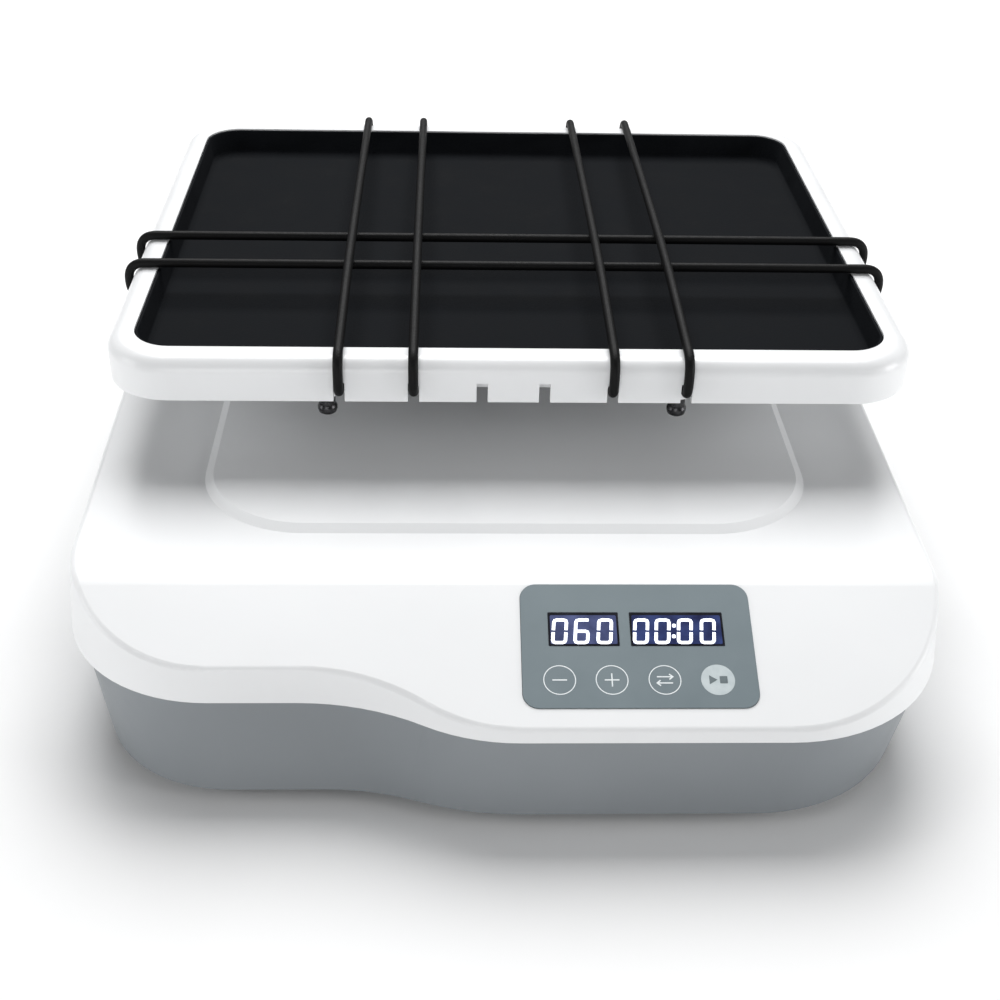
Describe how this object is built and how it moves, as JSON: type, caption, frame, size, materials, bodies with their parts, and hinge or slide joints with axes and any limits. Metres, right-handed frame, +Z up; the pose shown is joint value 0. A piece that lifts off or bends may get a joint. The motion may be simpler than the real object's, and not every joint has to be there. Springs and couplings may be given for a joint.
{
  "type": "orbital shaker",
  "caption": "Bench orbital shaker: low two-tone base with a sloped touch keypad, and a shallow rubber-lined tray on eccentric cranks, with elastic hold-down cords.",
  "frame": {"origin": "on the bench, under the middle of the footprint", "axes": "+X to the operator's right, -Y towards the operator and keypad, +Z up"},
  "size_m": [0.3188, 0.38, 0.1221],
  "materials": {
    "cover_white": "smooth moulded white cover, soft satin gloss",
    "tray_white": "smooth moulded white tray, soft satin gloss",
    "housing_grey": "fine-textured mid grey moulding",
    "mat_black": "fine matt black anti-slip rubber",
    "cord_black": "matt black elastic cord",
    "foot_rubber": "dark rubber",
    "belt_rubber": "dark ribbed drive belt",
    "panel_grey": "blue-grey printed glass keypad, glossy",
    "display_dark": "deep blue display windows with white segments",
    "gasket_foam": "black foam seal",
    "black_plastic": "black moulded switch and socket",
    "board_green": "green lacquered circuit board",
    "component_dark": "dark electronic components",
    "cable_black": "black insulated leads",
    "plated_steel": "zinc plated fasteners and plate",
    "dark_steel": "blackened steel studs and weight",
    "bearing_steel": "ground bearing steel",
    "cast_aluminium": "turned and milled aluminium",
    "brass_nickel": "nickelled brass"
  },
  "bodies": {
    "root": {"base_housing": "housing_grey", "top_cover": "cover_white", "rubber_feet": "foot_rubber", "foot_screws": "plated_steel", "cover_screws": "plated_steel", "chassis_plate": "plated_steel", "chassis_screws": "plated_steel", "main_bearing_housing": "cast_aluminium", "base_bearing_outer_rings": "bearing_steel", "idler_housing_left": "cast_aluminium", "idler_housing_right": "cast_aluminium", "idler_housing_rear": "cast_aluminium", "housing_screws": "plated_steel", "motor_body": "dark_steel", "motor_bracket": "plated_steel", "motor_screws": "plated_steel", "drive_belt": "belt_rubber", "shaft_seals": "foot_rubber", "control_board": "board_green", "board_components": "component_dark", "board_standoffs": "brass_nickel", "board_screws": "plated_steel", "display_board": "board_green", "display_standoffs": "brass_nickel", "display_modules": "display_dark", "touch_springs": "plated_steel", "control_panel": "panel_grey", "panel_gasket": "gasket_foam", "power_inlet": "black_plastic", "inlet_nut": "brass_nickel", "switch_housing": "black_plastic", "internal_wiring": "cable_black"},
    "crank": {"crankshaft": "bearing_steel", "driven_pulley": "cast_aluminium", "crank_bearing_inner_rings": "bearing_steel", "counterweight": "dark_steel", "weight_screws": "plated_steel", "pin_retainer": "plated_steel"},
    "motor_rotor": {"motor_shaft": "bearing_steel", "motor_pulley": "cast_aluminium"},
    "idler_left": {"idler_crank_left": "bearing_steel", "idler_inner_rings_left": "bearing_steel"},
    "idler_right": {"idler_crank_right": "bearing_steel", "idler_inner_rings_right": "bearing_steel"},
    "idler_rear": {"idler_crank_rear": "bearing_steel", "idler_inner_rings_rear": "bearing_steel"},
    "platform": {"carrier_plate": "cast_aluminium", "main_hub": "cast_aluminium", "idler_hubs": "cast_aluminium", "platform_bearing_outer_rings": "bearing_steel", "hub_screws": "plated_steel", "tray": "tray_white", "tray_mat": "mat_black", "tray_screws": "plated_steel", "cord_studs": "dark_steel", "elastic_cord_left": "cord_black", "elastic_cord_right": "cord_black", "elastic_cord_cross": "cord_black"},
    "rocker": {"power_rocker": "black_plastic"}
  },
  "joints": [
    {"name": "crank_spin", "type": "hinge", "parent": "root", "child": "crank", "pos_m": [0, 0.05775, 0.045], "axis": [0, 0, 1], "continuous": true},
    {"name": "platform_orbit", "type": "hinge", "parent": "crank", "child": "platform", "pos_m": [0.005, 0.05775, 0.0905], "axis": [0, 0, 1], "continuous": true},
    {"name": "motor_spin", "type": "hinge", "parent": "root", "child": "motor_rotor", "pos_m": [0.07, 0.112, 0.04], "axis": [0, 0, 1], "continuous": true},
    {"name": "idler_left_spin", "type": "hinge", "parent": "root", "child": "idler_left", "pos_m": [-0.085, 0.02, 0.05], "axis": [0, 0, 1], "continuous": true},
    {"name": "idler_right_spin", "type": "hinge", "parent": "root", "child": "idler_right", "pos_m": [0.085, 0.02, 0.05], "axis": [0, 0, 1], "continuous": true},
    {"name": "idler_rear_spin", "type": "hinge", "parent": "root", "child": "idler_rear", "pos_m": [0, 0.14, 0.05], "axis": [0, 0, 1], "continuous": true},
    {"name": "power_switch", "type": "hinge", "parent": "root", "child": "rocker", "pos_m": [0.114, 0.1785, 0.023], "axis": [0, 0, 1], "range_deg": [0, 16]}
  ],
  "couplings": [
    {"joint": "platform_orbit", "follows": "crank_spin", "ratio": -1},
    {"joint": "motor_spin", "follows": "crank_spin", "ratio": 4},
    {"joint": "idler_left_spin", "follows": "crank_spin", "ratio": 1},
    {"joint": "idler_right_spin", "follows": "crank_spin", "ratio": 1},
    {"joint": "idler_rear_spin", "follows": "crank_spin", "ratio": 1}
  ]
}
